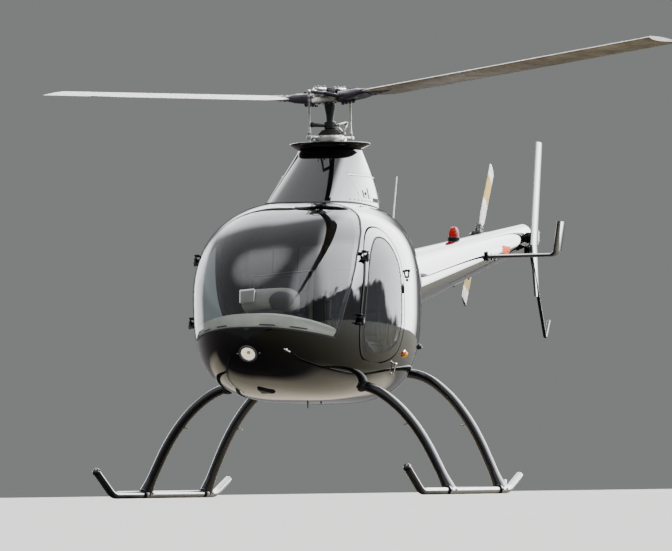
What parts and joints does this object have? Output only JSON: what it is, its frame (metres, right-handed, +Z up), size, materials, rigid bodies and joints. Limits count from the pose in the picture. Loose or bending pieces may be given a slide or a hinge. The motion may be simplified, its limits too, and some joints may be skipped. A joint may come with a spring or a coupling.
{
  "type": "two-seat light helicopter on skids",
  "caption": "Light helicopter with a teardrop pod, bubble windshield, hinged doors, teetering rotor, tail rotor and skids.",
  "frame": {"origin": "on the ground, midway along and across the whole aircraft with its rotor at rest", "axes": "+Z up, +Y aft so that the nose looks along -Y, +X to the aircraft's left side"},
  "size_m": [5.4917, 7.6524, 2.6556],
  "materials": {
    "gloss_body": "mirror-gloss black paint on glass fibre",
    "acrylic": "clear acrylic with a light tint",
    "black_paint": "gloss black paint on metal tube",
    "blade_paint": "satin white paint",
    "steel": "machined, lightly greased",
    "cast_metal": "cast",
    "grey_trim": "light grey moulded trim",
    "dark_trim": "dark matt trim",
    "seat_cloth": "dark woven cloth",
    "lamp_glass": "clear lens over a bright reflector",
    "red_lens": "red lens",
    "amber_lens": "amber lens"
  },
  "bodies": {
    "airframe": {"cross_tube_front": "black_paint", "cross_tube_rear": "black_paint", "skid_left": "black_paint", "skid_right": "black_paint", "cabin_shell": "gloss_body", "windshield": "acrylic", "landing_light": "lamp_glass", "cabin_floor": "grey_trim", "bulkhead": "dark_trim", "seat_cushion_left": "seat_cloth", "seat_back_left": "seat_cloth", "cyclic_left": "dark_trim", "seat_cushion_right": "seat_cloth", "seat_back_right": "seat_cloth", "cyclic_right": "dark_trim", "instrument_deck": "grey_trim", "instrument_pod": "grey_trim", "rear_cowl": "gloss_body", "engine_block": "cast_metal", "mast_fairing": "gloss_body", "fairing_cap": "gloss_body", "tail_boom": "gloss_body", "tail_gearbox": "cast_metal", "fin_upper": "gloss_body", "fin_lower": "gloss_body", "stabilizer_left": "gloss_body", "stabilizer_right": "gloss_body", "swashplate_lower": "steel", "beacon": "red_lens", "side_lamp_left": "amber_lens", "side_lamp_right": "amber_lens", "antenna": "blade_paint"},
    "rotor_mast": {"mast": "black_paint", "swashplate_upper": "steel", "pitch_link_a": "steel", "pitch_link_b": "steel"},
    "rotor_head": {"rotor_yoke": "steel", "blade_grip_a": "black_paint", "rotor_blade_a": "blade_paint", "blade_grip_b": "black_paint", "rotor_blade_b": "blade_paint"},
    "tail_rotor": {"tail_rotor_hub": "steel", "tail_blade_a": "blade_paint", "tail_blade_b": "blade_paint"},
    "left_door": {"door_left": "gloss_body", "door_window_left": "acrylic"},
    "right_door": {"door_right": "gloss_body", "door_window_right": "acrylic"}
  },
  "joints": [
    {"name": "main_rotor_spin", "type": "hinge", "parent": "airframe", "child": "rotor_mast", "pos_m": [0, -1.048, 2.1], "axis": [0, 0, 1], "continuous": true},
    {"name": "main_rotor_teeter", "type": "hinge", "parent": "rotor_mast", "child": "rotor_head", "pos_m": [0, -1.048, 2.385], "axis": [0.7193, 0.6947, 0], "range_deg": [-9.8, 6.2], "stiffness_Nm_per_rad": 300},
    {"name": "tail_rotor_spin", "type": "hinge", "parent": "airframe", "child": "tail_rotor", "pos_m": [-0.31, 3.392, 1.729], "axis": [1, 0, 0], "continuous": true},
    {"name": "left_door_hinge", "type": "hinge", "parent": "airframe", "child": "left_door", "pos_m": [0.517, -2.117, 1.1775], "axis": [0, -0.2934, -0.956], "range_deg": [0, 70]},
    {"name": "right_door_hinge", "type": "hinge", "parent": "airframe", "child": "right_door", "pos_m": [-0.517, -2.117, 1.1775], "axis": [0, 0.2934, 0.956], "range_deg": [0, 70]}
  ],
  "couplings": [
    {"joint": "tail_rotor_spin", "follows": "main_rotor_spin", "ratio": 5}
  ]
}
